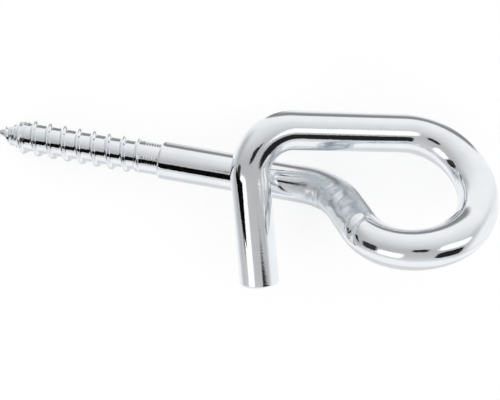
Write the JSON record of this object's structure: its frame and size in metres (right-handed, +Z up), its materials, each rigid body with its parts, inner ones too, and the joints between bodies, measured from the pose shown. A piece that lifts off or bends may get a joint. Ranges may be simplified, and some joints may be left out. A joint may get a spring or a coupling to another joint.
{
  "type": "lag eye screw with an open hooked eye",
  "caption": "Steel rod bent into an open eye and hook, with a smooth shank and a pointed wood-screw thread.",
  "frame": {"origin": "on the floor under the middle of the whole screw as it lies at rest", "axes": "+X along the shank from the point to the eye, +Z up from the floor it lies on"},
  "size_m": [0.162, 0.059, 0.0376],
  "materials": {
    "zinc_plated_steel": "bright zinc plating"
  },
  "bodies": {
    "root": {"eye_screw": "zinc_plated_steel"}
  },
  "joints": []
}
